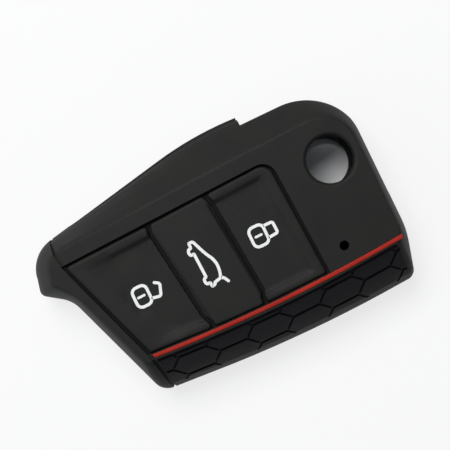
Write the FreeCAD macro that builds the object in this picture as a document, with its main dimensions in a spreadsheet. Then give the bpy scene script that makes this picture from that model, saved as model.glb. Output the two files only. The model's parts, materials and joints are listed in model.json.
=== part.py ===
"""Soft silicone cover for a folding car key, lying on its back with the buttons up.

X runs along the cover from the key-ring nose to the pivot end, Y from the honeycomb grip to the
blade side, and Z from the back to the button face. The origin is the middle of the cover's box,
on the surface that it lies on. All sizes are in millimetres.
"""

import FreeCAD
import Part
import math
import os

import Sketcher

# The driving dimensions, one spreadsheet cell each.
SIZES = {
    # the outer form
    "cover_length": 84.8,
    "cover_width": 54.0,
    "cover_thick": 18.5,
    "side_low": 3.8,
    "side_high": 11.0,
    "back_bevel": 2.6,
    # how far each corner of the outline is cut back to its round
    "heel_round": 2.4,
    "grip_bow_round": 24.0,
    "toe_round": 1.6,
    "end_bend_round": 3.0,
    "pivot_round": 13.5,
    "blade_bow_round": 11.0,
    "nose_top_round": 5.5,
    "nose_tip_round": 1.2,
    "nose_hollow_round": 2.4,
    "least_round": 0.7,
    # how far the rounded edges of the face and the back reach in
    "face_edge_round": 0.6,
    "back_edge_round": 1.0,
    "level_tolerance": 0.001,
    # walls
    "side_wall": 1.8,
    "front_wall": 2.2,
    "back_wall": 1.6,
    # openings for the key
    "release_radius": 5.5,
    "release_lip": 0.9,
    "emblem_radius": 6.0,
    "lamp_radius": 1.15,
    "blade_slit_low": 6.0,
    "blade_slit_high": 11.0,
    "head_window_low": 4.6,
    "head_window_high": 12.4,
    "notch_round": 15.0,
    "ring_window_low": 5.2,
    "ring_window_high": 10.4,
    "ring_window_radius": 5.2,
    # the groove between the ring-end collar and the face
    "collar_groove_width": 0.85,
    "collar_groove_depth": 0.7,
    "collar_bend_round": 4.0,
    # buttons
    "groove_width": 0.9,
    "panel_groove_width": 0.75,
    "head_groove_width": 0.55,
    "flank_width": 0.8,
    "foot_gap": 0.2,
    "button_corner_radius": 0.7,
    "panel_corner_radius": 3.6,
    "button_edge_bevel": 0.3,
    "web_thick": 0.6,
    "web_clearance": 0.1,
    "dish_depth": 0.6,
    "dish_slope": 0.9,
    "dish_end_slope": 1.6,
    "dish_head_border": 2.0,
    "dish_foot_border": 1.55,
    "unlock_dish_border": 3.6,
    "lock_dish_border": 2.2,
    "nub_radius": 3.2,
    "nub_height": 0.9,
    # the red stripe
    "stripe_width": 1.05,
    "stripe_bow": 1.25,
    "stripe_depth": 0.8,
    "stripe_proud": 0.12,
    "stripe_rib": 0.2,
    "stripe_edge_bevel": 0.18,
    # the honeycomb grip
    "strip_depth": 0.9,
    "strip_bow_round": 24.0,
    "strip_top_round": 27.0,
    "strip_end_round": 1.2,
    "cell_pitch": 9.3,
    "cell_row_pitch": 4.95,
    "cell_gap": 0.55,
    "cell_height": 0.42,
    # how far every cutting tool runs past what it cuts
    "overrun": 2.0,
}

# Corners of the outlines as shares of the length and the width, from the heel at the foot of the
# ring end along the grip, up the pivot end and back along the blade side to the nose.
SIDE_SHARES = (
    (0.192, 0.044),
    (0.632, -0.0109),
    (0.965, 0.020),
    (1.000, 0.222),
    (1.000, 0.959),
    (0.585, 1.008),
    (0.026, 0.842),
    (-0.002, 0.656),
    (0.073, 0.576),
)
FACE_SHARES = (
    (0.190, 0.191),
    (0.593, 0.149),
    (0.955, 0.191),
    (0.975, 0.240),
    (0.975, 0.838),
    (0.597, 0.824),
    (0.078, 0.796),
    (0.053, 0.670),
    (0.101, 0.580),
)
CORNER_ROUNDS = (
    "heel_round",
    "grip_bow_round",
    "toe_round",
    "end_bend_round",
    "pivot_round",
    "blade_bow_round",
    "nose_top_round",
    "nose_tip_round",
    "nose_hollow_round",
)
# The rounds of the face are these shares of the rounds of the side.
FACE_ROUND_SHARES = (0.6, 1.0, 0.75, 0.45, 0.65, 1.0, 0.6, 1.0, 1.0)
# Two rounds take up no more than this share of the side between them.
ROUND_ROOM_SHARE = 0.95
# Each edge round the form takes up these shares of the surfaces that meet at it.
BACK_EDGE_SHARE = 0.25
LOW_EDGE_SHARES = (0.5, 0.1)
HIGH_EDGE_SHARES = (0.45, 0.4)
FACE_EDGE_SHARE = 0.4
EDGE_STEPS = 3
# The corners of the pocket and the lip of the hole are cut in this many straight steps.
CORNER_STEPS = 3

# The collar groove's line, and the strip of grip beside it, as shares of length and width.
COLLAR_SHARES = ((0.230, -0.037), (0.218, 0.205), (0.104, 0.722), (0.076, 1.093))
STRIP_SHARES = (
    (0.2315, 0.060),
    (0.632, 0.0151),
    (0.949, 0.040),
    (0.947, 0.1975),
    (0.2255, 0.1975),
)

# The four lines that part the buttons fan out: the share of the length at the foot and at the
# head, and the share of the width at the head.
FAN_SHARES = (
    (0.212, 0.104, 0.722),
    (0.403, 0.361, 0.7315),
    (0.558, 0.531, 0.742),
    (0.745, 0.729, 0.752),
)
# The two lines inside the panel step aside round the flanks of the boot button: the side that each
# steps to, and how far it has stepped at shares of its height.
STEP_SIDES = {1: -1, 2: 1}
STEP_SHARES = ((0.055, 0), (0.115, 1), (0.915, 1))
# The stripe is an arc that hangs towards the grip between its two ends.
STRIPE_LINE_SHARE = 0.2156
STRIPE_START_SHARES = (0.2185, 0.2130)
STRIPE_END_SHARE = 0.968
STRIPE_MIDDLE_SHARE = (STRIPE_END_SHARE + STRIPE_START_SHARES[0]) / 2
STRIPE_HALF_SHARE = (STRIPE_END_SHARE - STRIPE_START_SHARES[0]) / 2

# Places of the openings and of the first honeycomb cell, as shares of length and width.
RELEASE_SHARES = (0.882, 0.6426)
LAMP_SHARES = (0.815, 0.286)
BLADE_SLIT_SHARES = (0.150, 0.700)
HEAD_WINDOW_SHARES = (0.700, 0.760)
HEAD_NOTCH_SHARES = (0.705, 0.946)
PIVOT_END_SHARES = (0.945, 0.360)
RING_WINDOW_SHARES = (0.012, 0.640)
FIRST_CELL_SHARES = (0.3184, 0.1019)
# A honeycomb cell's point stands this share of the column pitch from its middle.
CELL_TIP_SHARE = 0.645
CELL_COLUMNS = range(-2, 8)
CELL_ROWS = range(-2, 3)

# The buttons between the fan lines. The two outer ones carry a thumb dish, whose border at its
# closed end is the size named here. Each dish ends on a flank of the boot button between them.
BUTTONS = ("unlock_button", "boot_button", "lock_button")
DISH_BORDERS = {0: "unlock_dish_border", 2: "lock_dish_border"}

doc = FreeCAD.newDocument("KeyFobCover")
sheet = doc.addObject("Spreadsheet::Sheet", "Sizes")
for row, (alias, value) in enumerate(SIZES.items(), start=1):
    sheet.set(f"A{row}", alias)
    sheet.set(f"B{row}", str(value))
    sheet.setAlias(f"B{row}", alias)
doc.recompute()


def size(name):
    """A driving dimension, read from its cell."""
    return float(sheet.get(name))


# Expressions on the spreadsheet

FACE = "Sizes.cover_thick"
FACE_INSIDE = "Sizes.cover_thick - Sizes.front_wall"
STRIPE_ENDS = f"Sizes.cover_width * ({STRIPE_LINE_SHARE} - 0.5)"
STRIPE_HALF = f"Sizes.cover_length * {STRIPE_HALF_SHARE:.4f}"
STRIPE_RADIUS = f"(({STRIPE_HALF})^2 + Sizes.stripe_bow^2) / (2 * Sizes.stripe_bow)"


def along(share):
    """A place on the length, as an expression."""
    return f"Sizes.cover_length * ({share} - 0.5)"


def across(share):
    """A place on the width, as an expression."""
    return f"Sizes.cover_width * ({share} - 0.5)"


def rise_share(place_share):
    """How much of its bow the stripe has risen by at a share of the length, from its middle."""
    return ((place_share - STRIPE_MIDDLE_SHARE) / STRIPE_HALF_SHARE) ** 2


def foot_line(place_share, spare):
    """The foot of the buttons' opening beside the stripe, drawn in by a spare width."""
    hang_share = 1 - rise_share(place_share)
    stripe = f"{STRIPE_ENDS} - Sizes.stripe_bow * ({hang_share:.4f})"
    return f"{stripe} + Sizes.stripe_width / 2 + Sizes.stripe_rib + {spare}"


def bind(item, expressions):
    """Bind an object's properties to expressions."""
    for name, text in expressions.items():
        item.setExpression(name, text)


def bind_place(item, x, y, z):
    """Bind where an object stands."""
    bind(item, {"Placement.Base.x": x, "Placement.Base.y": y, "Placement.Base.z": z})


# Outlines in plan


def plan_points(table):
    """The corners of an outline from their shares of the length and the width."""
    length = size("cover_length")
    width = size("cover_width")
    return [FreeCAD.Vector(length * (x - 0.5), width * (y - 0.5), 0) for x, y in table]


def turn_at(points, i):
    """The angle that an outline turns by at corner i, positive at a convex corner."""
    before = points[i] - points[i - 1]
    after = points[(i + 1) % len(points)] - points[i]
    return math.atan2(before.x * after.y - before.y * after.x, before.dot(after))


def inset(points, distance):
    """An outline with every side moved inwards by a distance."""
    moved = []
    for i, corner in enumerate(points):
        before = (corner - points[i - 1]).normalize()
        after = (points[(i + 1) % len(points)] - corner).normalize()
        inward_before = FreeCAD.Vector(-before.y, before.x, 0)
        inward_after = FreeCAD.Vector(-after.y, after.x, 0)
        reach = distance / (1 + inward_before.dot(inward_after))
        moved.append(corner + (inward_before + inward_after) * reach)
    return moved


def inset_rounds(points, rounds, distance):
    """The rounds of an outline moved inwards, kept above the least round."""
    shrunk = [length - distance * math.tan(turn_at(points, i) / 2) for i, length in enumerate(rounds)]
    return [max(length, size("least_round")) for length in shrunk]


def fitted_rounds(points, rounds):
    """The rounds of an outline, drawn in where two would not fit on the side between them."""
    fits = [1.0] * len(points)
    for i, corner in enumerate(points):
        after = (i + 1) % len(points)
        room = (points[after] - corner).Length * ROUND_ROOM_SHARE
        taken = rounds[i] + rounds[after]
        if taken > room:
            fits[i] = min(fits[i], room / taken)
            fits[after] = min(fits[after], room / taken)
    return [length * share for length, share in zip(rounds, fits)]


def stepped_corner(arc):
    """The straight steps that stand for an arc."""
    places = arc.discretize(CORNER_STEPS + 1)
    return [Part.LineSegment(a, b).toShape() for a, b in zip(places, places[1:])]


def rounded_wire(points, rounds, height, stepped=False):
    """A closed outline at a height, each corner cut back by its round and joined by an arc."""
    rounds = fitted_rounds(points, rounds)
    lift = FreeCAD.Vector(0, 0, height)
    starts = []
    ends = []
    arcs = []
    for i, corner in enumerate(points):
        back = (points[i - 1] - corner).normalize()
        onward = (points[(i + 1) % len(points)] - corner).normalize()
        starts.append(corner + back * rounds[i] + lift)
        ends.append(corner + onward * rounds[i] + lift)
        arcs.append(None)
        if rounds[i] > 0:
            half_turn = abs(turn_at(points, i)) / 2
            reach = rounds[i] * (1 - math.cos(half_turn)) / math.sin(half_turn)
            middle = corner + (back + onward).normalize() * reach + lift
            arcs[i] = Part.Arc(starts[i], middle, ends[i]).toShape()
    edges = []
    for i, arc in enumerate(arcs):
        if arc:
            edges += stepped_corner(arc) if stepped else [arc]
        edges.append(Part.LineSegment(ends[i], starts[(i + 1) % len(points)]).toShape())
    return Part.Wire(edges)


def plan_prism(points, rounds):
    """A prism over an outline that runs past the cover above and below."""
    low = -size("overrun")
    high = size("cover_thick") + size("overrun")
    outline = Part.Face(rounded_wire(points, rounds, low))
    return outline.extrude(FreeCAD.Vector(0, 0, high - low))


def add_shape(name, shape):
    """A document object that holds a finished shape."""
    item = doc.addObject("Part::Feature", name)
    item.Shape = shape
    return item


# The cover's form


class Level:
    """One outline of the form, with its rounds and its height."""

    def __init__(self, points, rounds, height):
        self.points = points
        self.rounds = rounds
        self.height = height

    def inside(self, wall):
        """The same level with every side moved inwards."""
        rounds = inset_rounds(self.points, self.rounds, wall)
        return Level(inset(self.points, wall), rounds, self.height)

    def toward(self, other, share):
        """The level that lies a share of the way to another."""
        points = [here + (there - here) * share for here, there in zip(self.points, other.points)]
        rounds = [here + (there - here) * share for here, there in zip(self.rounds, other.rounds)]
        return Level(points, rounds, self.height + (other.height - self.height) * share)

    def wire(self, stepped=False):
        return rounded_wire(self.points, self.rounds, self.height, stepped)


def form_levels(low, side_low, side_high, high):
    """The outlines of the back, of the side's two edges and of the face."""
    rounds = [size(name) for name in CORNER_ROUNDS]
    face_rounds = [length * share for length, share in zip(rounds, FACE_ROUND_SHARES)]
    lower = Level(plan_points(SIDE_SHARES), rounds, side_low)
    back = lower.inside(size("back_bevel"))
    back.height = low
    upper = Level(lower.points, rounds, side_high)
    return back, lower, upper, Level(plan_points(FACE_SHARES), face_rounds, high)


def bend(before, corner, after):
    """Levels that round a corner of the form in even steps."""
    levels = []
    for step in range(EDGE_STEPS + 1):
        share = step / EDGE_STEPS
        start = before.toward(corner, share)
        levels.append(start.toward(corner.toward(after, share), share))
    return levels


def cover_form():
    """The outer form, with all four of its edges rounded."""
    back, lower, upper, face = form_levels(
        0, size("side_low"), size("side_high"), size("cover_thick")
    )
    levels = bend(back.inside(size("back_edge_round")), back, back.toward(lower, BACK_EDGE_SHARE))
    levels += bend(
        lower.toward(back, LOW_EDGE_SHARES[0]), lower, lower.toward(upper, LOW_EDGE_SHARES[1])
    )
    levels += bend(
        upper.toward(lower, HIGH_EDGE_SHARES[0]), upper, upper.toward(face, HIGH_EDGE_SHARES[1])
    )
    levels += bend(face.toward(upper, FACE_EDGE_SHARE), face, face.inside(size("face_edge_round")))
    return Part.makeLoft([level.wire() for level in levels], True, True)


def inner_form(wall, low, side_low, side_high, high, stepped):
    """The plain form inside a wall, with round or stepped corners."""
    levels = form_levels(low, side_low, side_high, high)
    return Part.makeLoft([level.inside(wall).wire(stepped) for level in levels], True, True)


def key_pocket():
    """The hollow that takes the key."""
    wall = size("side_wall")
    return inner_form(
        wall,
        size("back_wall"),
        size("side_low") + wall,
        size("side_high") - wall,
        size("cover_thick") - size("front_wall"),
        True,
    )


def collar_groove(outer):
    """The groove that runs round the cover beside the ring-end collar."""
    depth = size("collar_groove_depth")
    line = plan_points(COLLAR_SHARES)
    half = FreeCAD.Vector(size("collar_groove_width") / 2, 0, 0)
    band = [place + half for place in line] + [place - half for place in reversed(line)]
    bend = size("collar_bend_round")
    ring = plan_prism(band, (0, bend, bend, 0, 0, bend, bend, 0))
    core = inner_form(
        depth, depth, size("side_low"), size("side_high"), size("cover_thick") - depth, False
    )
    return ring.common(outer).cut(core)


def release_hole():
    """A round hole through the front wall with a rounded lip."""
    radius = size("release_radius")
    lip = size("release_lip")
    top = size("cover_thick")
    low = top - size("front_wall") - size("overrun")
    high = top + size("overrun")
    lip_start = FreeCAD.Vector(radius, 0, top - lip)
    lip_end = FreeCAD.Vector(radius + lip, 0, top)
    centre = FreeCAD.Vector(radius + lip, 0, top - lip)
    toward = FreeCAD.Vector(-1, 0, 1).normalize()
    corners = [
        lip_end,
        FreeCAD.Vector(radius + lip, 0, high),
        FreeCAD.Vector(0, 0, high),
        FreeCAD.Vector(0, 0, low),
        FreeCAD.Vector(radius, 0, low),
        lip_start,
    ]
    edges = [Part.LineSegment(a, b).toShape() for a, b in zip(corners, corners[1:])]
    edges += stepped_corner(Part.Arc(lip_start, centre + toward * lip, lip_end).toShape())
    profile = Part.Face(Part.Wire(edges))
    return profile.revolve(FreeCAD.Vector(0, 0, 0), FreeCAD.Vector(0, 0, 1), 360)


# The honeycomb grip


def stripe_rise(place):
    """How far the stripe has risen beside a place, from where it hangs lowest."""
    share = place.x / size("cover_length") + 0.5
    return FreeCAD.Vector(0, size("stripe_bow") * rise_share(share), 0)


def honeycomb_cells():
    """Upright prisms over the honeycomb's cells, staggered column by column along the stripe."""
    pitch = size("cell_pitch")
    rise = size("cell_row_pitch")
    tip = pitch * CELL_TIP_SHARE
    shoulder = pitch - tip
    half = rise / 2
    cell = [
        FreeCAD.Vector(x, y, 0)
        for x, y in (
            (-tip, 0),
            (-shoulder, -half),
            (shoulder, -half),
            (tip, 0),
            (shoulder, half),
            (-shoulder, half),
        )
    ]
    cell = inset(cell, size("cell_gap") / 2)
    first = plan_points([FIRST_CELL_SHARES])[0]
    square = [0] * len(cell)
    prisms = []
    for column in CELL_COLUMNS:
        stagger = half if column % 2 else 0
        for row in CELL_ROWS:
            middle = first + FreeCAD.Vector(column * pitch, row * rise + stagger, 0)
            corners = [corner + middle for corner in cell]
            prisms.append(plan_prism([place + stripe_rise(place) for place in corners], square))
    return Part.makeCompound(prisms)


def strip_outline(drop):
    """The corners of the strip of grip, whose upper side hangs as the stripe does, and its rounds.

    The upper side is moved down by a drop.
    """
    points = plan_points(STRIP_SHARES)
    top_middle = (points[-1] + points[-2]) / 2
    # the tangents at an arc's ends meet twice as deep as the arc hangs
    points.insert(-1, top_middle - stripe_rise(points[-1]) * 2)
    lower = FreeCAD.Vector(0, drop, 0)
    points[-3:] = [place - lower for place in points[-3:]]
    end = size("strip_end_round")
    return points, (0, size("strip_bow_round"), end, end, size("strip_top_round"), 0)


def cell_field():
    """An upright prism over the ground of the honeycomb's cells, below the groove along its top."""
    points, rounds = strip_outline(size("cell_gap"))
    past = FreeCAD.Vector(size("overrun"), 0, 0)
    below = FreeCAD.Vector(0, size("overrun"), 0)
    left, bow, right = points[:3]
    ground = [left - past - below, bow - below, right + past - below]
    return plan_prism(
        ground + [points[3] + past, points[4], points[5] - past], (0, 0, 0, 0, rounds[4], 0)
    )


def net_block():
    """A block over the whole grip that the honeycomb's grooves are left from."""
    low, high = STRIP_SHARES[0], STRIP_SHARES[2]
    return make_block(
        "net_block",
        (
            f"{along(low[0])} - Sizes.overrun",
            "-Sizes.cover_width / 2 - Sizes.overrun",
            "-Sizes.overrun / 2",
        ),
        (
            f"{along(high[0])} - ({along(low[0])}) + 2 * Sizes.overrun",
            f"Sizes.cover_width * {STRIP_SHARES[3][1]} + 2 * Sizes.overrun",
            "Sizes.cover_thick + Sizes.overrun",
        ),
    )


def grip_outline():
    """An upright prism over the strip of grip."""
    return plan_prism(*strip_outline(0))


# Bodies on sketches


def new_sketch(body, name):
    """An empty sketch on a body's ground plane."""
    sketch = body.newObject("Sketcher::SketchObject", name)
    ground = [item for item in body.Origin.OriginFeatures if item.Role == "XY_Plane"][0]
    sketch.AttachmentSupport = [(ground, "")]
    sketch.MapMode = "FlatFace"
    return sketch


def bind_constraint(sketch, constraint, text):
    """Add a constraint to a sketch and bind it to an expression."""
    number = sketch.addConstraint(constraint)
    sketch.setExpression(f"Constraints[{number}]", text)


def fix_point(sketch, geometry, point, x, y):
    """Bind the place of a point of a sketch to two expressions."""
    for kind, text in (("DistanceX", x), ("DistanceY", y)):
        value = sketch.evalExpression(text)
        bind_constraint(sketch, Sketcher.Constraint(kind, -1, 1, geometry, point, value), text)


def hanging_arc(start, end, radius):
    """An arc from left to right that hangs below the line between its ends."""
    half = (end - start).Length / 2
    sag = radius - math.sqrt(radius**2 - half**2)
    return Part.Arc(start, (start + end) / 2 - FreeCAD.Vector(0, sag, 0), end)


def polygon_sketch(body, name, corners, bowed=()):
    """A sketch of a polygon from pairs of expressions, whose bowed sides hang as the stripe does."""
    sketch = new_sketch(body, name)
    places = [FreeCAD.Vector(sketch.evalExpression(x), sketch.evalExpression(y), 0) for x, y in corners]
    count = len(places)
    radius = sketch.evalExpression(STRIPE_RADIUS)
    # the numbers of the first and the last point of each side, which an arc counts from the left
    points = [(1, 2)] * count
    for i, start in enumerate(places):
        end = places[(i + 1) % count]
        if i not in bowed:
            sketch.addGeometry(Part.LineSegment(start, end))
        elif start.x < end.x:
            sketch.addGeometry(hanging_arc(start, end, radius))
        else:
            sketch.addGeometry(hanging_arc(end, start, radius))
            points[i] = (2, 1)
    for i in range(count):
        after = (i + 1) % count
        sketch.addConstraint(Sketcher.Constraint("Coincident", i, points[i][1], after, points[after][0]))
    for i, (x, y) in enumerate(corners):
        fix_point(sketch, i, points[i][0], x, y)
    for i in bowed:
        bind_constraint(sketch, Sketcher.Constraint("Radius", i, radius), STRIPE_RADIUS)
    return sketch


def polygon_body(label, corners, height, bowed=()):
    """A straight block over a polygon sketch."""
    body = doc.addObject("PartDesign::Body", label)
    sketch = polygon_sketch(body, label + "_outline", corners, bowed)
    block = body.newObject("PartDesign::Pad", label + "_block")
    block.Profile = sketch
    block.setExpression("Length", height)
    doc.recompute()
    return body


def upright_edges(shape, corners):
    """The numbers of a block's upright edges at some of its corners."""
    slack = size("level_tolerance")
    found = []
    for x, y in corners:
        place = FreeCAD.Vector(sheet.evalExpression(x), sheet.evalExpression(y), 0)
        for number, edge in enumerate(shape.Edges, start=1):
            box = edge.BoundBox
            stands = box.XLength < slack and box.YLength < slack
            if stands and abs(box.XMin - place.x) < slack and abs(box.YMin - place.y) < slack:
                found.append(number)
    return found


def top_edges(shape):
    """The numbers of the edges round the top of a block."""
    slack = size("level_tolerance")
    top = shape.BoundBox.ZMax
    edges = enumerate(shape.Edges, start=1)
    return [number for number, edge in edges if edge.BoundBox.ZMin > top - slack]


def long_top_edges(shape):
    """The numbers of the top edges that run along most of a block."""
    half = shape.BoundBox.XLength / 2
    return [number for number in top_edges(shape) if shape.Edges[number - 1].Length > half]


def soften_edges(body, name, kind, numbers, sizes):
    """Round or bevel some edges of the body's last feature."""
    softer = body.newObject(kind, f"{body.Name}_{name}")
    base = body.Group[-2]
    softer.Base = (base, [f"Edge{number}" for number in numbers])
    bind(softer, sizes)
    doc.recompute()


def round_edges(body, name, numbers, radius):
    """Round some edges of the body's last feature."""
    soften_edges(body, name, "PartDesign::Fillet", numbers, {"Radius": radius})


def bevel_edges(body, name, numbers, width):
    """Bevel some edges of the body's last feature."""
    soften_edges(body, name, "PartDesign::Chamfer", numbers, {"Size": width})


def fan_corners(first, last, spare_near, spare_far, spare_head, spare_foot):
    """The corners of the block between two fan lines, each side drawn in by a spare width."""
    near_foot, near_head, near_top = FAN_SHARES[first]
    far_foot, far_head, far_top = FAN_SHARES[last]
    between = [share for share, _, _ in FAN_SHARES[first + 1 : last]]
    return [
        (f"{along(near_foot)} + {spare_near}", foot_line(near_foot, spare_foot)),
        *[(along(share), foot_line(share, spare_foot)) for share in between],
        (f"{along(far_foot)} - ({spare_far})", foot_line(far_foot, spare_foot)),
        (f"{along(far_head)} - ({spare_far})", f"{across(far_top)} - ({spare_head})"),
        (f"{along(near_head)} + {spare_near}", f"{across(near_top)} - ({spare_head})"),
    ]


def step_points(line, spare):
    """The places where a fan line steps aside, from its foot to its head, moved by a spare width."""
    if line not in STEP_SIDES:
        return []
    foot, head, top = FAN_SHARES[line]
    points = []
    for share, step in STEP_SHARES:
        x = along(round(foot + (head - foot) * share, 5))
        y = f"({foot_line(foot, 0)}) * (1 - {share}) + {across(top)} * {share}"
        points.append((f"{x} + ({STEP_SIDES[line] * step}) * Sizes.flank_width + {spare}", y))
    return points


def button_gaps(number):
    """The half grooves on the near and the far side of a button and at its head."""
    near = "Sizes.groove_width / 2" if number else "Sizes.collar_groove_width / 2"
    last = number == len(BUTTONS) - 1
    far = "Sizes.panel_groove_width / 2" if last else "Sizes.groove_width / 2"
    return near, far, "Sizes.head_groove_width / 2"


def main_corners(number, clearance):
    """The four main corners of a button, or with a clearance those of the hole round it."""
    spares = [f"{gap} - {clearance}" for gap in button_gaps(number)]
    return fan_corners(number, number + 1, *spares, f"Sizes.foot_gap - {clearance}")


def button_corners(number, clearance):
    """All corners of a button, or with a clearance those of the hole round it."""
    near_foot, far_foot, far_head, near_head = main_corners(number, clearance)
    near, far, _ = [f"({gap} - {clearance})" for gap in button_gaps(number)]
    near_side = step_points(number, near)
    far_side = step_points(number + 1, f"(-{far})")
    return [near_foot, far_foot, *far_side, far_head, near_head, *reversed(near_side)]


def opening_corners():
    """The corners of the opening in the front wall that all three buttons share."""
    collar, beyond, head = [
        f"(-Sizes.{name}_groove_width / 2)" for name in ("collar", "panel", "head")
    ]
    return fan_corners(0, len(BUTTONS), collar, beyond, head, 0)


def dish_corners(number, side):
    """The corners of a thumb dish at its floor, on side 1, or at its mouth, on side -1."""
    near, far, head = button_gaps(number)
    slope = f"({side}) * Sizes.dish_slope"
    closed = f"Sizes.{DISH_BORDERS[number]} + ({side}) * Sizes.dish_end_slope"
    flank = f"(({side}) * Sizes.flank_width - Sizes.groove_width / 2)"
    near = flank if number else f"{near} + {closed}"
    far = f"{far} + {closed}" if number else flank
    head = f"{head} + Sizes.dish_head_border + {slope}"
    foot = f"Sizes.foot_gap + Sizes.dish_foot_border + {slope}"
    return fan_corners(number, number + 1, near, far, head, foot)


def add_dish(body, number):
    """Cut a shallow thumb dish with sloping sides."""
    levels = []
    for name, side in (("floor", 1), ("mouth", -1)):
        sketch = polygon_sketch(body, f"{body.Name}_dish_{number}_{name}", dish_corners(number, side))
        height = f"Sizes.front_wall - ({side}) * Sizes.dish_depth"
        sketch.setExpression("AttachmentOffset.Base.z", height)
        levels.append(sketch)
    doc.recompute()
    dish = body.newObject("PartDesign::SubtractiveLoft", f"{body.Name}_dish_{number}")
    dish.Profile = levels[0]
    dish.Sections = [levels[1]]
    dish.Ruled = True
    doc.recompute()


def add_nub(body, corners):
    """The round nub inside the cover that meets the key's own button."""
    sketch = new_sketch(body, f"{body.Name}_nub_outline")
    middle = [f"({' + '.join(f'({corner[axis]})' for corner in corners)}) / 4" for axis in (0, 1)]
    x, y = [sketch.evalExpression(text) for text in middle]
    sketch.addGeometry(Part.Circle(FreeCAD.Vector(x, y, 0), FreeCAD.Vector(0, 0, 1), size("nub_radius")))
    fix_point(sketch, 0, 3, *middle)
    bind_constraint(sketch, Sketcher.Constraint("Radius", 0, size("nub_radius")), "Sizes.nub_radius")
    nub = body.newObject("PartDesign::Pad", f"{body.Name}_nub")
    nub.Profile = sketch
    nub.setExpression("Length", "Sizes.nub_height")
    nub.Reversed = True
    doc.recompute()


def round_corners(body, number, clearance):
    """Round the upright corners of a button, or with a clearance those of the hole round it."""
    plain = main_corners(number, clearance)
    if number == len(BUTTONS) - 1:
        panel_corner = plain.pop(2)
        inner_round = f"Sizes.panel_corner_radius - Sizes.panel_groove_width + {clearance}"
        round_edges(body, "panel_corner", upright_edges(body.Tip.Shape, [panel_corner]), inner_round)
    outer_round = f"Sizes.button_corner_radius + {clearance}"
    round_edges(body, "corners", upright_edges(body.Tip.Shape, plain), outer_round)


def make_button(number, label):
    """One button pad with rounded corners, the dishes that reach it, and the nub below it."""
    body = polygon_body(label, button_corners(number, 0), "Sizes.front_wall")
    corners = main_corners(number, 0)
    round_corners(body, number, 0)
    bevel_edges(body, "top", top_edges(body.Tip.Shape), "Sizes.button_edge_bevel")
    for dish in DISH_BORDERS:
        if abs(dish - number) < 2:
            add_dish(body, dish)
    add_nub(body, corners)
    body.setExpression("Placement.Base.z", FACE_INSIDE)
    doc.recompute()
    return body


def make_stripe(label, height):
    """The block of the red stripe, or with the groove's height the block that cuts its groove."""
    low = f"{STRIPE_ENDS} - Sizes.stripe_width / 2"
    high = f"{STRIPE_ENDS} + Sizes.stripe_width / 2"
    foot, head = [f"{along(share)} + Sizes.collar_groove_width / 2" for share in STRIPE_START_SHARES]
    end = along(STRIPE_END_SHARE)
    corners = [(foot, low), (end, low), (end, high), (head, high)]
    body = polygon_body(label, corners, height, bowed=(0, 2))
    body.setExpression("Placement.Base.z", f"{FACE} - Sizes.stripe_depth")
    return body


def make_opening(label, low, height):
    """A block over the opening that the buttons share, with its round corner."""
    corners = opening_corners()
    body = polygon_body(label, corners, height)
    panel_corner = upright_edges(body.Tip.Shape, [corners[-2]])
    round_edges(body, "corner", panel_corner, "Sizes.panel_corner_radius")
    body.setExpression("Placement.Base.z", low)
    doc.recompute()
    return body


# Tools for the openings


def make_block(name, place, lengths):
    """A cutting block from expressions for its corner and its sides."""
    block = doc.addObject("Part::Box", name)
    bind_place(block, *place)
    bind(block, dict(zip(("Length", "Width", "Height"), lengths)))
    return block


def make_rod(name, place, radius, height, turn):
    """A cutting cylinder from expressions, turned from upright."""
    rod = doc.addObject("Part::Cylinder", name)
    rod.Placement = FreeCAD.Placement(FreeCAD.Vector(0, 0, 0), turn)
    bind_place(rod, *place)
    bind(rod, {"Radius": radius, "Height": height})
    return rod


UPRIGHT = FreeCAD.Rotation()
TO_BLADE_SIDE = FreeCAD.Rotation(FreeCAD.Vector(1, 0, 0), -90)
TO_PIVOT_END = FreeCAD.Rotation(FreeCAD.Vector(0, 1, 0), 90)


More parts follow.
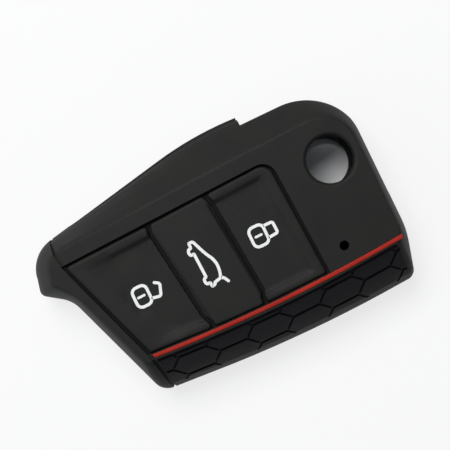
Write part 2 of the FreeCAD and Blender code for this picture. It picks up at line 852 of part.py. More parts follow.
def side_windows():
    """The slit for the blade and the wider window for its head, both with round ends."""
    slit_tall = "Sizes.blade_slit_high - Sizes.blade_slit_low"
    slit_middle = "(Sizes.blade_slit_high + Sizes.blade_slit_low) / 2"
    head_tall = "Sizes.head_window_high - Sizes.head_window_low"
    head_middle = "(Sizes.head_window_high + Sizes.head_window_low) / 2"
    slit_start = f"{along(BLADE_SLIT_SHARES[0])} + ({slit_tall}) / 2"
    head_start = f"{along(HEAD_WINDOW_SHARES[0])} + ({head_tall}) / 2"
    end_start = f"{across(PIVOT_END_SHARES[1])} + ({head_tall}) / 2"
    slit_wide = f"Sizes.cover_width * (1 - {BLADE_SLIT_SHARES[1]}) + Sizes.overrun"
    head_wide = f"Sizes.cover_width * (1 - {HEAD_WINDOW_SHARES[1]}) + Sizes.overrun"
    end_long = f"Sizes.cover_length * (1 - {PIVOT_END_SHARES[0]}) + Sizes.overrun"
    slit_y = across(BLADE_SLIT_SHARES[1])
    head_y = across(HEAD_WINDOW_SHARES[1])
    end_x = along(PIVOT_END_SHARES[0])
    past_end = "Sizes.cover_length / 2 + Sizes.overrun"
    past_side = "Sizes.cover_width / 2 + Sizes.overrun"
    return [
        make_block(
            "blade_slit",
            (slit_start, slit_y, "Sizes.blade_slit_low"),
            (f"{head_start} - ({slit_start})", slit_wide, slit_tall),
        ),
        make_rod(
            "blade_slit_end",
            (slit_start, slit_y, slit_middle),
            f"({slit_tall}) / 2",
            slit_wide,
            TO_BLADE_SIDE,
        ),
        make_block(
            "head_window",
            (head_start, head_y, "Sizes.head_window_low"),
            (f"{past_end} - ({head_start})", head_wide, head_tall),
        ),
        make_rod(
            "head_window_start",
            (head_start, head_y, head_middle),
            f"({head_tall}) / 2",
            head_wide,
            TO_BLADE_SIDE,
        ),
        make_block(
            "pivot_end_window",
            (end_x, end_start, "Sizes.head_window_low"),
            (end_long, f"{past_side} - ({end_start})", head_tall),
        ),
        make_rod(
            "pivot_end_window_start",
            (end_x, end_start, head_middle),
            f"({head_tall}) / 2",
            end_long,
            TO_PIVOT_END,
        ),
    ]


def head_notch():
    """The notch in plan that draws the outline in beside the blade's head, round to the pivot end."""
    start = plan_points([HEAD_NOTCH_SHARES])[0]
    end_x = size("cover_length") / 2
    far_x = end_x + size("overrun")
    far_y = size("cover_width") / 2 + size("overrun")
    corners = (
        (start.x, start.y),
        (end_x, start.y),
        (end_x, 0),
        (far_x, 0),
        (far_x, far_y),
        (start.x, far_y),
    )
    points = [FreeCAD.Vector(x, y, 0) for x, y in corners]
    return plan_prism(points, (0, size("notch_round"), 0, 0, 0, 0))


def round_openings():
    """The hole in the back, the lamp's hole and the window for the key ring."""
    return [
        make_rod(
            "emblem_hole",
            (along(RELEASE_SHARES[0]), across(RELEASE_SHARES[1]), "-Sizes.overrun"),
            "Sizes.emblem_radius",
            "Sizes.back_wall + 2 * Sizes.overrun",
            UPRIGHT,
        ),
        make_rod(
            "lamp_hole",
            (along(LAMP_SHARES[0]), across(LAMP_SHARES[1]), f"{FACE_INSIDE} - Sizes.overrun"),
            "Sizes.lamp_radius",
            "Sizes.front_wall + 2 * Sizes.overrun",
            UPRIGHT,
        ),
        make_rod(
            "ring_window",
            (along(RING_WINDOW_SHARES[0]), across(RING_WINDOW_SHARES[1]), "Sizes.ring_window_low"),
            "Sizes.ring_window_radius",
            "Sizes.ring_window_high - Sizes.ring_window_low",
            UPRIGHT,
        ),
    ]


def cut(name, base, tool):
    """One document object cut by another."""
    item = doc.addObject("Part::Cut", name)
    item.Base = base
    item.Tool = tool
    return item


def joined(kind, name, shapes):
    """A fusion or a common part of several document objects."""
    item = doc.addObject(kind, name)
    item.Shapes = shapes
    return item


# Build every piece

outer = add_shape("outer_form", cover_form())

floor = add_shape("grip_floor_form", outer.Shape)
floor.setExpression("Placement.Base.z", "-Sizes.strip_depth")
valley = add_shape("grip_valley_form", outer.Shape)
valley.setExpression("Placement.Base.z", "-Sizes.cell_height")
band = joined("Part::MultiCommon", "grip_band", [outer, add_shape("grip_prism", grip_outline())])
blank = cut("grip_blank", band, floor)
field = [add_shape("cell_field", cell_field()), add_shape("cell_prisms", honeycomb_cells())]
net = cut("grip_net", net_block(), joined("Part::MultiCommon", "cells", field))
grooves = cut("grip_grooves", net, valley)
grip_strip = cut("grip_strip", blank, grooves)
doc.recompute()

accent_stripe = make_stripe("accent_stripe", "Sizes.stripe_depth + Sizes.stripe_proud")
long_edges = long_top_edges(accent_stripe.Tip.Shape)
bevel_edges(accent_stripe, "edges", long_edges, "Sizes.stripe_edge_bevel")

release = add_shape("release_hole", release_hole())
release.setExpression("Placement.Base.x", along(RELEASE_SHARES[0]))
release.setExpression("Placement.Base.y", across(RELEASE_SHARES[1]))
through = "Sizes.front_wall + 2 * Sizes.overrun"
hollow = cut("hollow", outer, add_shape("key_pocket", key_pocket()))
groove = add_shape("collar_groove", collar_groove(outer.Shape))
grooved = cut("grooved", hollow, groove)
recessed = cut("recessed", grooved, blank)
notched = cut("notched", recessed, add_shape("head_notch", head_notch()))
windows = joined("Part::MultiFuse", "windows", side_windows() + round_openings())
windowed = cut("windowed", notched, windows)
face_cuts = [
    release,
    make_stripe("stripe_groove", "Sizes.stripe_depth + Sizes.overrun"),
    make_opening("button_opening", f"{FACE_INSIDE} - Sizes.overrun", through),
]
sleeve = cut("sleeve", windowed, joined("Part::MultiFuse", "face_cuts", face_cuts))
doc.recompute()

buttons = [make_button(number, label) for number, label in enumerate(BUTTONS)]

web = make_opening("web_blank", FACE_INSIDE, "Sizes.web_thick")
holes = []
for number, label in enumerate(BUTTONS):
    hole = polygon_body(label + "_hole", button_corners(number, "Sizes.web_clearance"), through)
    round_corners(hole, number, "Sizes.web_clearance")
    hole.setExpression("Placement.Base.z", f"{FACE_INSIDE} - Sizes.overrun")
    holes.append(hole)
button_membrane = cut(
    "button_membrane", web, joined("Part::MultiFuse", "web_holes", holes)
)
doc.recompute()

# Check and write the pieces

for item in doc.Objects:
    if "Invalid" in item.State or "Error" in item.State:
        raise RuntimeError(f"{item.Label} did not build: {item.State}")

os.makedirs("parts", exist_ok=True)
for item in [sleeve, grip_strip, accent_stripe, button_membrane] + buttons:
    if item.Shape.isNull() or not item.Shape.isValid() or len(item.Shape.Solids) != 1:
        raise RuntimeError(f"{item.Label} is not one valid solid")
    item.Shape.exportStep(f"parts/{item.Label}.step")
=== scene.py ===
"""Looks of a soft silicone key cover: moulded skins, printed signs and a plain studio.

Every piece is in metres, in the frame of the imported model: X runs along the cover from the ring-end
nose to the pivot end, Y from the honeycomb grip to the blade side, and Z up from the back.
"""

import json
import math

import bmesh
import bpy
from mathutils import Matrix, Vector
from mathutils.bvhtree import BVHTree
from mathutils.kdtree import KDTree


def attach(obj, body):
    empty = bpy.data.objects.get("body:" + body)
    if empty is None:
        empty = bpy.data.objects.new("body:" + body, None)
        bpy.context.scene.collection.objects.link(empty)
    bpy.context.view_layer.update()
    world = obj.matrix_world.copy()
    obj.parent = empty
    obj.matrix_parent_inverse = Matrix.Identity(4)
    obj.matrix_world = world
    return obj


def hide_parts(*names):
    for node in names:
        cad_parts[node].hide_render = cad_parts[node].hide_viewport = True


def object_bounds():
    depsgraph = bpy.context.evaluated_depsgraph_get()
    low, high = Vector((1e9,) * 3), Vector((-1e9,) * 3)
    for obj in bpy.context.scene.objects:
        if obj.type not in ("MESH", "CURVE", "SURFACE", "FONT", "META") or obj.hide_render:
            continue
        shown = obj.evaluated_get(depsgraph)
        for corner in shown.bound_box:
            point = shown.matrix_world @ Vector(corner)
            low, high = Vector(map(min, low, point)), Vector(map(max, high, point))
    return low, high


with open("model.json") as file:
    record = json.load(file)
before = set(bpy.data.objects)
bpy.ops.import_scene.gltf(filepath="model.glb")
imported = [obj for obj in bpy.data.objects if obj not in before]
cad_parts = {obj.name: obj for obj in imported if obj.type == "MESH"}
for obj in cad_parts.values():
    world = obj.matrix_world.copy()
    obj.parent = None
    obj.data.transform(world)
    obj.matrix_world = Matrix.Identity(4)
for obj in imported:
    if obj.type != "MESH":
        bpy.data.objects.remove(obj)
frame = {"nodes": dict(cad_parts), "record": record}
CAD_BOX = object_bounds()

bl_info = {
    "name": "Key Fob Cover",
    "version": (1, 0, 0),
    "blender": (4, 5, 0),
    "location": "View3D > Sidebar > Key Cover",
    "description": "Dresses a packed key fob cover with silicone, print and studio light",
    "category": "Object",
}

MM = 0.001

# Which body carries each part of the cover.
BODIES = {
    "sleeve": "cover",
    "grip_strip": "cover",
    "accent_stripe": "cover",
    "button_membrane": "cover",
    "unlock_button": "unlock_pad",
    "boot_button": "boot_pad",
    "lock_button": "lock_pad",
}
BUTTONS = ("unlock_button", "boot_button", "lock_button")

# The signs as lines: closed or open, the line's share of the full stroke, then its corners in
# millimetres with how far each is cut round. The top of a sign points along +X.
LOCK_SIGN = (
    (True, 1.0, ((8.15, 1.35, 1.2), (11.8, 1.35, 1.2), (11.8, -3.4, 1.2), (8.15, -3.4, 1.2))),
    (False, 0.8, ((8.95, -1.0, 0), (10.95, -1.0, 0))),
    (False, 1.0, ((11.8, 0.6, 0), (14.2, 0.6, 0.5), (14.3, -2.2, 0.5), (11.8, -2.4, 0))),
)
UNLOCK_SIGN = (
    (True, 1.0, ((-22.0, 0.5, 1.2), (-18.45, 0.5, 1.2), (-18.45, -4.2, 1.2), (-22.0, -4.2, 1.2))),
    (False, 0.8, ((-21.4, -1.85, 0), (-19.3, -1.8, 0))),
    (False, 1.0, ((-18.45, -3.2, 0), (-16.2, -3.65, 0.5), (-15.2, -0.85, 0.5), (-16.6, -0.05, 0))),
)
BOOT_SIGN = (
    (
        True,
        1.0,
        (
            (-5.25, 4.4, 0.2),
            (-4.3, 4.4, 0.35),
            (-2.75, 0.5, 1.0),
            (-1.55, -1.5, 1.1),
            (-1.4, -3.9, 1.2),
            (-2.05, -5.85, 0.3),
            (-3.7, -6.2, 0.15),
            (-3.85, -6.65, 0.15),
            (-4.6, -6.8, 0.15),
            (-4.7, -5.8, 0.2),
            (-5.45, -5.85, 0.3),
            (-5.75, -5.2, 0.3),
            (-5.6, -4.45, 0.25),
            (-5.0, -4.25, 0.2),
            (-5.2, 1.75, 0.2),
            (-6.0, 1.65, 0.3),
            (-6.25, 2.4, 0.3),
            (-5.95, 3.1, 0.25),
            (-5.3, 3.2, 0.2),
        ),
    ),
    (False, 1.0, ((-2.05, -5.75, 0), (-1.3, -6.2, 0.3), (-0.6, -7.55, 0))),
)
SIGNS = {"unlock_button": UNLOCK_SIGN, "boot_button": BOOT_SIGN, "lock_button": LOCK_SIGN}


def linear(code):
    """A linear colour from an sRGB hex code."""
    shares = [int(code[i : i + 2], 16) / 255 for i in (0, 2, 4)]
    return tuple(s / 12.92 if s <= 0.04045 else ((s + 0.055) / 1.055) ** 2.4 for s in shares)


def opaque(colour):
    """A colour with full alpha, as the nodes take it."""
    return (*colour, 1.0)


# Settings that a user would change


def length(name, description, default):
    """A length property in metres."""
    return bpy.props.FloatProperty(
        name=name, description=description, default=default, unit="LENGTH", precision=5
    )


def colour(name, description, code):
    """A colour property from an sRGB hex code."""
    return bpy.props.FloatVectorProperty(
        name=name, description=description, default=linear(code), subtype="COLOR", min=0, max=1
    )


class CoverSizes(bpy.types.PropertyGroup):
    """Sizes of the finish."""

    edge_width: length("Moulded edge", "Width of the round on a moulded edge", 0.12 * MM)
    pad_mesh: length("Pad mesh", "Side of the small squares of a button pad", 0.20 * MM)
    pad_rim: length("Pad rim", "Width of a pad's rim that stays crisp", 1.0 * MM)
    web_swell: length("Web swell", "How far the web grows towards the pads", 0.05 * MM)
    cell_edge_width: length("Cell edge", "Width of the round on a honeycomb cell", 0.22 * MM)
    print_stroke: length("Print stroke", "Width of a printed line", 0.70 * MM)
    print_thick: length("Print thickness", "Height of the ink above the pad", 0.03 * MM)
    grain: length("Moulded grain", "Spacing of the grain of matte silicone", 0.22 * MM)
    bloom: length("Bloom patches", "Spacing of the faint patches on silicone", 9.0 * MM)


class CoverColours(bpy.types.PropertyGroup):
    """Colours of the finish."""

    black_dark: colour("Black, dark", "Darker patches of the black silicone", "111310")
    black_light: colour("Black, light", "Lighter patches of the black silicone", "181a15")
    web_dark: colour("Web, dark", "Darker patches of the web", "161616")
    web_light: colour("Web, light", "Lighter patches of the web", "1c1c1b")
    # The grip's tones are darker than the black of the rest of the cover: partly its own deeper black,
    # partly painted shade for its side away from the light.
    grip_dark_with_shade: colour("Grip, dark", "Darker patches of the grip", "08080b")
    grip_light_with_shade: colour("Grip, light", "Lighter patches of the grip", "0d0d11")
    red_dark: colour("Red, dark", "Darker patches of the stripe", "a01c0e")
    red_light: colour("Red, light", "Lighter patches of the stripe", "ac2514")
    ink_dark: colour("Ink, dark", "Thin places of the white ink", "f2f2f0")
    ink_light: colour("Ink, light", "Full places of the white ink", "fbfbfa")
    floor: colour("Floor", "The pale floor", "f7f7f7")


class StageSettings(bpy.types.PropertyGroup):
    """Where the camera and the lamps stand."""

    camera_x: length("Camera X", "Place of the camera along the cover", 4.1 * MM)
    camera_y: length("Camera Y", "Place of the camera across the cover", 4.6 * MM)
    camera_height: length("Camera height", "Height of the camera over the floor", 298.5 * MM)
    camera_roll: bpy.props.FloatProperty(
        name="Camera roll",
        description="How far the cover is turned in the picture",
        default=math.radians(-25.83),
        subtype="ANGLE",
    )
    lens: bpy.props.FloatProperty(
        name="Lens", description="Focal length", default=97.7, subtype="DISTANCE_CAMERA"
    )
    key_watts: bpy.props.FloatProperty(
        name="Key lamp", description="Power of the key lamp", default=4.1, unit="POWER"
    )
    wall_light: bpy.props.FloatProperty(
        name="Wall light",
        description="Strength of the light from the wall beyond the nose",
        default=1.1,
    )
    room_light: bpy.props.FloatProperty(
        name="Room light", description="Strength of the light from all other sides", default=0.16
    )


# Materials

SILICONE_IOR = 1.41
INK_IOR = 1.5
# The noise below the first value has the darker tone, and above the second the lighter one.
TONE_RANGE = (0.35, 0.65)
# The noise between these values spreads over the whole range of roughness.
GLOSS_RANGE = (0.3, 0.7)
BUMP_STRENGTH = 0.5
# A patch of thin ink is this many strokes wide.
INK_PATCH_STROKES = 2


def add_node(tree, kind, values=None, links=None, **settings):
    """Add a node with its settings, its socket values and its links."""
    node = tree.nodes.new(kind)
    for name, value in settings.items():
        setattr(node, name, value)
    for socket, value in (values or {}).items():
        node.inputs[socket].default_value = value
    for socket, source in (links or {}).items():
        tree.links.new(source, node.inputs[socket])
    return node


def new_material(name):
    """An empty node material and its tree."""
    material = bpy.data.materials.new(name)
    material.use_nodes = True
    material.node_tree.nodes.clear()
    return material, material.node_tree


def patchy_material(name, dark, light, patch, grain, rough, bump, shader):
    """A surface with faint patches of two tones, a fine grain and an uneven gloss.

    The real grain is about a twentieth of a millimetre, drawn coarser here so that it shows.
    """
    material, tree = new_material(name)
    place = add_node(tree, "ShaderNodeTexCoord").outputs["Object"]
    patches = add_node(
        tree,
        "ShaderNodeTexNoise",
        {"Scale": 1 / patch, "Detail": 4.0, "Roughness": 0.6},
        {"Vector": place},
    )
    tones = add_node(tree, "ShaderNodeValToRGB", links={"Fac": patches.outputs["Fac"]})
    for stop, position, tone in zip(tones.color_ramp.elements, TONE_RANGE, (dark, light)):
        stop.position = position
        stop.color = opaque(tone)
    fine = add_node(
        tree,
        "ShaderNodeTexNoise",
        {"Scale": 1 / grain, "Detail": 2.0, "Roughness": 0.5},
        {"Vector": place},
    )
    gloss = add_node(
        tree,
        "ShaderNodeMapRange",
        {
            "From Min": GLOSS_RANGE[0],
            "From Max": GLOSS_RANGE[1],
            "To Min": rough[0],
            "To Max": rough[1],
        },
        {"Value": fine.outputs["Fac"]},
    )
    relief = add_node(
        tree,
        "ShaderNodeBump",
        {"Strength": BUMP_STRENGTH, "Distance": bump},
        {"Height": fine.outputs["Fac"]},
    )
    surface = add_node(
        tree,
        "ShaderNodeBsdfPrincipled",
        shader,
        {
            "Base Color": tones.outputs["Color"],
            "Roughness": gloss.outputs["Result"],
            "Normal": relief.outputs["Normal"],
        },
    )
    add_node(tree, "ShaderNodeOutputMaterial", links={"Surface": surface.outputs["BSDF"]})
    return material


def black_silicone(sizes, colours):
    """Moulded matte silicone rubber: a soft black in faint patches, with a broad dull sheen."""
    return patchy_material(
        "moulded_black_silicone",
        colours.black_dark,
        colours.black_light,
        patch=sizes.bloom,
        grain=sizes.grain,
        rough=(0.58, 0.70),
        bump=0.008 * MM,
        shader={"IOR": SILICONE_IOR, "Specular IOR Level": 0.4},
    )


def web_silicone(sizes, colours):
    """Thin black silicone at the foot of the grooves: a dull black with hardly any sheen."""
    return patchy_material(
        "thin_black_silicone",
        colours.web_dark,
        colours.web_light,
        patch=sizes.bloom,
        grain=sizes.grain,
        rough=(0.80, 0.90),
        bump=0.004 * MM,
        shader={"IOR": SILICONE_IOR, "Specular IOR Level": 0.2},
    )


def grip_silicone(sizes, colours):
    """Satin silicone rubber of the honeycomb: a deeper, slightly blue black with soft glints, darker than
    the rest of the cover partly as painted shade for its side, which faces away from the light.
    """
    return patchy_material(
        "satin_blue_black_silicone_and_painted_shade",
        colours.grip_dark_with_shade,
        colours.grip_light_with_shade,
        patch=sizes.bloom,
        grain=sizes.grain,
        rough=(0.50, 0.62),
        bump=0.005 * MM,
        shader={"IOR": SILICONE_IOR, "Specular IOR Level": 0.3},
    )


def red_silicone(sizes, colours):
    """Filled red silicone of the stripe: an even matte red."""
    return patchy_material(
        "filled_red_silicone",
        colours.red_dark,
        colours.red_light,
        patch=sizes.bloom,
        grain=sizes.grain,
        rough=(0.48, 0.60),
        bump=0.006 * MM,
        shader={"IOR": SILICONE_IOR, "Specular IOR Level": 0.3},
    )


def white_ink(sizes, colours):
    """Pad-printed white ink: a flat white that is a little thin in places."""
    return patchy_material(
        "pad_printed_white_ink",
        colours.ink_dark,
        colours.ink_light,
        patch=sizes.print_stroke * INK_PATCH_STROKES,
        grain=sizes.grain,
        rough=(0.50, 0.65),
        bump=0.004 * MM,
        shader={"IOR": INK_IOR, "Specular IOR Level": 0.3},
    )


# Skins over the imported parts

MERGE_GAP = 0.002 * MM
FLAT_ANGLE = math.radians(0.5)
SHARP_ANGLE = math.radians(35)
SMOOTH_ANGLE = math.radians(42)
EDGE_SEGMENTS = 2
# The rounded edge of a pad ends this far below its upper side.
EDGE_DEPTH = 0.5 * MM
# A surface whose normal rises less than this is a wall.
WALL_TURN = 0.5
# How far a point moves towards its neighbours in one pass of smoothing.
SMOOTH_FACTOR = 0.5
# How often the small squares of a pad are smoothed, all over and in the dish.
EDGE_PASSES = 3
DISH_PASSES = 25
# The dish beside the collar has no crease there: its floor rises slowly over these distances from the
# collar, which leans this far along the cover for each step across it.
RAMP_PAD = "unlock_button"
RAMP_REACHES = (10.0 * MM, 8.0 * MM, 6.5 * MM)
RAMP_PASSES = 150
COLLAR_LEAN = 0.341


def new_piece(name, build, material):
    """Turn a bmesh into a smooth-shaded object with a material."""
    mesh = bpy.data.meshes.new(name)
    build.to_mesh(mesh)
    build.free()
    mesh.materials.clear()
    mesh.materials.append(material)
    mesh.shade_smooth()
    mesh.set_sharp_from_angle(angle=SMOOTH_ANGLE)
    piece = bpy.data.objects.new(name, mesh)
    bpy.context.scene.collection.objects.link(piece)
    # Large faces stay flat to the eye and the narrow rounds beside them turn.
    weighted = piece.modifiers.new("flat_faces", "WEIGHTED_NORMAL")
    weighted.keep_sharp = True
    return piece


def merged_copy(node):
    """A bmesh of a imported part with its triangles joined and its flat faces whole."""
    build = bmesh.new()
    build.from_mesh(frame["nodes"][node].data)
    bmesh.ops.remove_doubles(build, verts=build.verts, dist=MERGE_GAP)
    bmesh.ops.dissolve_limit(build, angle_limit=FLAT_ANGLE, verts=build.verts, edges=build.edges)
    return build


def round_sharp_edges(build, width):
    """Round every sharp edge that is long enough to take it."""
    sharp = [edge for edge in build.edges if edge.is_manifold and edge.calc_face_angle() > SHARP_ANGLE]
    bmesh.ops.bevel(
        build,
        geom=sharp,
        offset=width,
        offset_type="OFFSET",
        segments=EDGE_SEGMENTS,
        profile=0.5,
        affect="EDGES",
        material=-1,
        clamp_overlap=True,
    )


def stand_for(piece, node):
    """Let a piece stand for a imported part."""
    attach(piece, BODIES[node])
    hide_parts(node)


def edged_skin(node, width, material):
    """A skin with its sharp edges rounded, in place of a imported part."""
    build = merged_copy(node)
    round_sharp_edges(build, width)
    stand_for(new_piece(node + "_skin", build, material), node)


def surface_tree(node):
    """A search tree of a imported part's surface."""
    packed = merged_copy(node)
    tree = BVHTree.FromBMesh(packed)
    packed.free()
    return tree


def swollen_skin(node, swell, material):
    """A skin that has grown on all sides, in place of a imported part."""
    build = merged_copy(node)
    build.normal_update()
    moves = [vert.normal * vert.calc_shell_factor() * swell for vert in build.verts]
    for vert, move in zip(build.verts, moves):
        vert.co += move
    stand_for(new_piece(node + "_skin", build, material), node)


def modified(build, *steps):
    """The bmesh that modifiers make of a bmesh, each given as its kind and its settings."""
    mesh = bpy.data.meshes.new("plain")
    build.to_mesh(mesh)
    build.free()
    plain = bpy.data.objects.new("plain", mesh)
    bpy.context.scene.collection.objects.link(plain)
    for kind, settings in steps:
        step = plain.modifiers.new(kind.lower(), kind)
        for name, value in settings.items():
            setattr(step, name, value)
    evaluated = plain.evaluated_get(bpy.context.evaluated_depsgraph_get())
    mesh = bpy.data.meshes.new_from_object(evaluated)
    bpy.data.objects.remove(plain)
    shaped = bmesh.new()
    shaped.from_mesh(mesh)
    bpy.data.meshes.remove(mesh)
    return shaped


def dish_points(build, rim):
    """The points of a pad's upper side that lie further in than a rim along its walls."""
    # The walls are read as far below the top as the rim is wide.
    build.normal_update()
    foot = max(vert.co.z for vert in build.verts) - rim
    walls = [vert for vert in build.verts if vert.co.z < foot and abs(vert.normal.z) < WALL_TURN]
    plan = KDTree(len(walls))
    for number, vert in enumerate(walls):
        plan.insert((vert.co.x, vert.co.y, 0), number)
    plan.balance()
    upper = [vert for vert in build.verts if vert.co.z > foot]
    return [vert for vert in upper if plan.find((vert.co.x, vert.co.y, 0))[2] > rim]


def fit_walls(build, node):
    """Put the points below a pad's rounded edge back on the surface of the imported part."""
    tree = surface_tree(node)
    foot = max(vert.co.z for vert in build.verts) - EDGE_DEPTH
    for vert in build.verts:
        if vert.co.z < foot:
            vert.co = tree.find_nearest(vert.co)[0]


def soften(build, points, passes):
    """Level the bumps between points without moving them sideways."""
    for _ in range(passes):
        bmesh.ops.smooth_vert(build, verts=points, factor=SMOOTH_FACTOR, use_axis_z=True)


def draw_out_ramp(build, points):
    """Let the floor of the dish beside the collar rise slowly towards the collar."""
    collar = min(vert.co.x + COLLAR_LEAN * vert.co.y for vert in build.verts)
    for reach in RAMP_REACHES:
        near = [vert for vert in points if vert.co.x + COLLAR_LEAN * vert.co.y < collar + reach]
        soften(build, near, RAMP_PASSES)


def pad_skin(node, mesh_size, rim, material):
    """A skin of small squares, worn soft all over, in place of a button pad."""
    build = modified(
        merged_copy(node),
        ("REMESH", {"mode": "VOXEL", "voxel_size": mesh_size}),
        ("SMOOTH", {"factor": SMOOTH_FACTOR, "iterations": EDGE_PASSES}),
    )
    fit_walls(build, node)
    points = dish_points(build, rim)
    soften(build, points, DISH_PASSES)
    if node == RAMP_PAD:
        draw_out_ramp(build, points)
    stand_for(new_piece(node + "_skin", build, material), node)


# Printed signs

# A printed line is divided this finely, so that it follows its pad.
PRINT_STEP = 0.6 * MM
ROUND_SEGMENTS = 5
# The upright edges at the end of a line lie within this share of the stroke from its last point, and
# are rounded by this share of it, which makes the end nearly a half circle.
END_REACH_SHARE = 0.55
END_ROUND_SHARE = 0.49


def sign_line(corners, closed):
    """A bmesh of one printed line as a chain of edges with its corners rounded."""
    build = bmesh.new()
    points = [build.verts.new((x * MM, y * MM, 0)) for x, y, _ in corners]
    following = points[1:] + points[:1] if closed else points[1:]
    for start, end in zip(points, following):
        build.edges.new((start, end))
    for point, (_, _, cut) in zip(points, corners):
        if cut:
            bmesh.ops.bevel(
                build,
                geom=[point],
                offset=cut * MM,
                offset_type="OFFSET",
                segments=ROUND_SEGMENTS,
                profile=0.5,
                affect="VERTICES",
                material=-1,
                clamp_overlap=True,
            )
    for edge in list(build.edges):
        cuts = int(edge.calc_length() / PRINT_STEP)
        if cuts:
            bmesh.ops.subdivide_edges(build, edges=[edge], cuts=cuts)
    return build


def thicken_line(build, stroke, thick):
    """Raise a chain of edges into a band and give it the width of the stroke."""
    raised = bmesh.ops.extrude_edge_only(build, edges=build.edges)["geom"]
    tops = [item for item in raised if isinstance(item, bmesh.types.BMVert)]
    bmesh.ops.translate(build, verts=tops, vec=(0, 0, thick))
    bmesh.ops.recalc_face_normals(build, faces=build.faces)
    return modified(build, ("SOLIDIFY", {"thickness": stroke, "offset": 0, "use_even_offset": True}))


def round_ends(build, ends, stroke):
    """Round both ends of an open line."""
    upright = []
    for edge in build.edges:
        a, b = edge.verts
        rises = a.co.z != b.co.z and (a.co.xy - b.co.xy).length < MERGE_GAP
        near = min((a.co.xy - end).length for end in ends)
        if rises and near < stroke * END_REACH_SHARE:
            upright.append(edge)
    bmesh.ops.bevel(
        build,
        geom=upright,
        offset=stroke * END_ROUND_SHARE,
        offset_type="OFFSET",
        segments=ROUND_SEGMENTS,
        profile=0.5,
        affect="EDGES",
        material=-1,
        clamp_overlap=True,
    )


def lay_on_pad(build, node, thick):
    """Lower a flat sign on to the upper side of its pad, half sunk into it."""
    pad = bmesh.new()
    pad.from_mesh(bpy.data.objects[node + "_skin"].data)
    tree = BVHTree.FromBMesh(pad)
    pad.free()
    for vert in build.verts:
        above = Vector((vert.co.x, vert.co.y, 2 * CAD_BOX[1].z))
        hit = tree.ray_cast(above, Vector((0, 0, -1)))[0]
        if hit is None:
            raise RuntimeError(f"the sign lies outside {node}")
        vert.co.z += hit.z - thick


def add_line(whole, line):
    """Add a finished line to a whole sign."""
    mesh = bpy.data.meshes.new("line")
    line.to_mesh(mesh)
    line.free()
    whole.from_mesh(mesh)
    bpy.data.meshes.remove(mesh)


def put_in_order(build):
    """Number points and faces by their place, so that each run gives the same mesh."""
    for number, vert in enumerate(sorted(build.verts, key=lambda vert: tuple(vert.co))):
        vert.index = number
    build.verts.sort()
    faces = sorted(build.faces, key=lambda face: tuple(face.calc_center_median()))
    for number, face in enumerate(faces):
        face.index = number
    build.faces.sort()


def print_sign(node, sign, stroke, thick, material):
    """All lines of one sign, laid on their pad."""
    whole = bmesh.new()
    for closed, share, corners in sign:
        width = stroke * share
        # One thickness stands above the pad and one is sunk into it.
        line = thicken_line(sign_line(corners, closed), width, thick + thick)
        if not closed:
            ends = [Vector(corner[:2]) * MM for corner in (corners[0], corners[-1])]
            round_ends(line, ends, width)
        add_line(whole, line)
    bmesh.ops.recalc_face_normals(whole, faces=whole.faces)
    lay_on_pad(whole, node, thick)
    put_in_order(whole)
    piece = new_piece(node.replace("button", "sign"), whole, material)
    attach(piece, BODIES[node])


# Operators for the pieces


class KEYCOVER_OT_sleeve(bpy.types.Operator):
    """Dress the sleeve and the web that holds its buttons"""

    bl_idname = "keycover.sleeve"
    bl_label = "Sleeve"

    def execute(self, context):
        sizes = context.scene.cover_sizes
        colours = context.scene.cover_colours
        edged_skin("sleeve", sizes.edge_width, black_silicone(sizes, colours))
        swollen_skin("button_membrane", sizes.web_swell, web_silicone(sizes, colours))
        return {"FINISHED"}


class KEYCOVER_OT_grip(bpy.types.Operator):
    """Dress the honeycomb grip"""

    bl_idname = "keycover.grip"
    bl_label = "Honeycomb grip"

    def execute(self, context):
        sizes = context.scene.cover_sizes
        material = grip_silicone(sizes, context.scene.cover_colours)
        edged_skin("grip_strip", sizes.cell_edge_width, material)
        return {"FINISHED"}


class KEYCOVER_OT_stripe(bpy.types.Operator):
    """Dress the red stripe"""

    bl_idname = "keycover.stripe"
    bl_label = "Red stripe"

    def execute(self, context):
        material = red_silicone(context.scene.cover_sizes, context.scene.cover_colours)
        edged_skin("accent_stripe", context.scene.cover_sizes.edge_width, material)
        return {"FINISHED"}


class KEYCOVER_OT_buttons(bpy.types.Operator):
    """Dress the three button pads"""

    bl_idname = "keycover.buttons"
    bl_label = "Buttons"

    def execute(self, context):
        sizes = context.scene.cover_sizes
        material = black_silicone(sizes, context.scene.cover_colours)
        for node in BUTTONS:
            pad_skin(node, sizes.pad_mesh, sizes.pad_rim, material)
        return {"FINISHED"}


class KEYCOVER_OT_signs(bpy.types.Operator):
    """Print a sign on each button pad"""

    bl_idname = "keycover.signs"
    bl_label = "Printed signs"

    def execute(self, context):
        sizes = context.scene.cover_sizes
        material = white_ink(sizes, context.scene.cover_colours)
        for node, sign in SIGNS.items():
            print_sign(node, sign, sizes.print_stroke, sizes.print_thick, material)
        return {"FINISHED"}


# Stage

FLOOR_REACH = 3.0
KEY_PLACE = (-0.06, 0.34, 0.61)
KEY_SIDE = 0.4
WHITE = "ffffff"
# The light of the room is a little cool.
ROOM_TONE = "f0f5ff"
# The wall beyond the nose starts to brighten where a direction leans this far towards it.
WALL_FROM = 0.4
# The floor is white by this share, but for the shade under the round hole, which ends between these
# distances from the hole's middle.
WHITE_SHARE = 0.75
HOLE_REACH = (6.2 * MM, 7.0 * MM)


def hole_middle():
    """The middle of the hole in the back, on the floor."""
    openings = {opening["name"]: opening for opening in frame["record"]["physics"]["openings"]}
    low, high = openings["badge_hole"]["box_m"]
    return ((low[0] + high[0]) / 2, (low[1] + high[1]) / 2, 0)


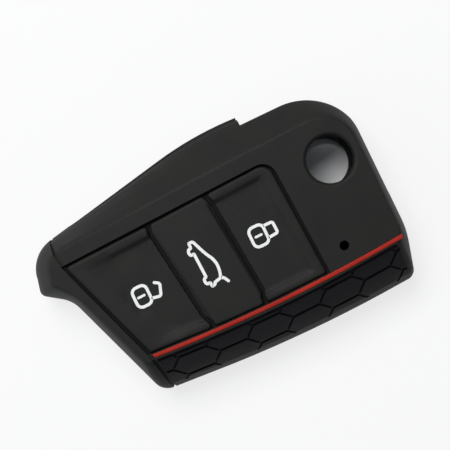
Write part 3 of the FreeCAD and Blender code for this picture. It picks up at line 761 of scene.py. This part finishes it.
def floor_material(tone):
    """Seamless studio paper: a dull white with a faint shade, deep only where the round hole shows it."""
    material, tree = new_material("matte_studio_paper")
    paper = add_node(
        tree,
        "ShaderNodeBsdfPrincipled",
        {"Base Color": opaque(tone), "Roughness": 0.95, "Specular IOR Level": 0.1},
    )
    white = add_node(
        tree, "ShaderNodeEmission", {"Color": opaque(linear(WHITE)), "Strength": 1.0}
    )
    place = add_node(tree, "ShaderNodeTexCoord").outputs["Object"]
    away = add_node(
        tree, "ShaderNodeVectorMath", {1: hole_middle()}, {0: place}, operation="DISTANCE"
    )
    white_share = add_node(
        tree,
        "ShaderNodeMapRange",
        {"From Min": HOLE_REACH[0], "From Max": HOLE_REACH[1], "To Max": WHITE_SHARE},
        {"Value": away.outputs["Value"]},
        interpolation_type="SMOOTHSTEP",
    )
    rays = add_node(tree, "ShaderNodeLightPath").outputs
    mirrored = add_node(
        tree,
        "ShaderNodeMath",
        links={0: rays["Is Glossy Ray"], 1: rays["Is Transmission Ray"]},
        operation="MAXIMUM",
    )
    seen = add_node(
        tree,
        "ShaderNodeMath",
        links={0: rays["Is Camera Ray"], 1: mirrored.outputs[0]},
        operation="MAXIMUM",
    )
    share = add_node(
        tree,
        "ShaderNodeMath",
        links={0: white_share.outputs[0], 1: seen.outputs[0]},
        operation="MULTIPLY",
    )
    both = add_node(
        tree,
        "ShaderNodeMixShader",
        links={0: share.outputs[0], 1: paper.outputs["BSDF"], 2: white.outputs["Emission"]},
    )
    add_node(tree, "ShaderNodeOutputMaterial", links={"Surface": both.outputs["Shader"]})
    return material


def add_floor(tone):
    """The pale floor that the cover lies on."""
    build = bmesh.new()
    bmesh.ops.create_grid(build, x_segments=1, y_segments=1, size=FLOOR_REACH)
    floor = new_piece("floor", build, floor_material(tone))


def add_lamp(name, watts, place, side):
    """A square soft lamp that faces the cover."""
    lamp = bpy.data.lights.new(name, "AREA")
    lamp.energy = watts
    lamp.size = side
    holder = bpy.data.objects.new(name, lamp)
    holder.location = place
    holder.rotation_euler = (-Vector(place)).to_track_quat("-Z", "Y").to_euler()
    bpy.context.scene.collection.objects.link(holder)


def add_room(wall_light, room_light):
    """A dim room with a pale wall beyond the nose of the cover."""
    world = bpy.data.worlds.new("white_room")
    bpy.context.scene.world = world
    world.use_nodes = True
    tree = world.node_tree
    tree.nodes.clear()
    toward = add_node(tree, "ShaderNodeTexCoord").outputs["Generated"]
    along = add_node(tree, "ShaderNodeSeparateXYZ", links={"Vector": toward}).outputs["X"]
    strength = add_node(
        tree,
        "ShaderNodeMapRange",
        {"From Min": -1, "From Max": -WALL_FROM, "To Min": wall_light, "To Max": room_light},
        {"Value": along},
    )
    light = add_node(
        tree,
        "ShaderNodeBackground",
        {"Color": opaque(linear(ROOM_TONE))},
        {"Strength": strength.outputs["Result"]},
    )
    add_node(tree, "ShaderNodeOutputWorld", links={"Surface": light.outputs["Background"]})


class KEYCOVER_OT_stage(bpy.types.Operator):
    """Set the floor, the light and the camera"""

    bl_idname = "keycover.stage"
    bl_label = "Stage"

    def execute(self, context):
        stage = context.scene.cover_stage
        context.scene.view_settings.view_transform = "Standard"
        add_floor(context.scene.cover_colours.floor)
        add_room(stage.wall_light, stage.room_light)
        add_lamp("key_lamp", stage.key_watts, KEY_PLACE, KEY_SIDE)
        camera = bpy.data.cameras.new("camera")
        camera.lens = stage.lens
        holder = bpy.data.objects.new("camera", camera)
        holder.location = (stage.camera_x, stage.camera_y, stage.camera_height)
        holder.rotation_euler = (0, 0, stage.camera_roll)
        context.scene.collection.objects.link(holder)
        context.scene.camera = holder
        return {"FINISHED"}


# Panel and registration


class KEYCOVER_PT_panel(bpy.types.Panel):
    """The cover's pieces and their settings"""

    bl_idname = "KEYCOVER_PT_panel"
    bl_label = "Key Cover"
    bl_space_type = "VIEW_3D"
    bl_region_type = "UI"
    bl_category = "Key Cover"

    def draw(self, context):
        for operator in OPERATORS:
            self.layout.operator(operator.bl_idname)
        for group in (context.scene.cover_sizes, context.scene.cover_colours, context.scene.cover_stage):
            for name in group.__annotations__:
                self.layout.prop(group, name)


OPERATORS = (
    KEYCOVER_OT_sleeve,
    KEYCOVER_OT_grip,
    KEYCOVER_OT_stripe,
    KEYCOVER_OT_buttons,
    KEYCOVER_OT_signs,
    KEYCOVER_OT_stage,
)
GROUPS = {"cover_sizes": CoverSizes, "cover_colours": CoverColours, "cover_stage": StageSettings}


def register():
    for item in (*GROUPS.values(), *OPERATORS, KEYCOVER_PT_panel):
        bpy.utils.register_class(item)
    for name, group in GROUPS.items():
        setattr(bpy.types.Scene, name, bpy.props.PointerProperty(type=group))


def unregister():
    for name in GROUPS:
        delattr(bpy.types.Scene, name)
    for item in (KEYCOVER_PT_panel, *reversed(OPERATORS), *GROUPS.values()):
        bpy.utils.unregister_class(item)


def main():
    register()
    bpy.ops.keycover.sleeve()
    bpy.ops.keycover.grip()
    bpy.ops.keycover.stripe()
    bpy.ops.keycover.buttons()
    bpy.ops.keycover.signs()
    bpy.ops.keycover.stage()


if __name__ == "__main__":
    main()
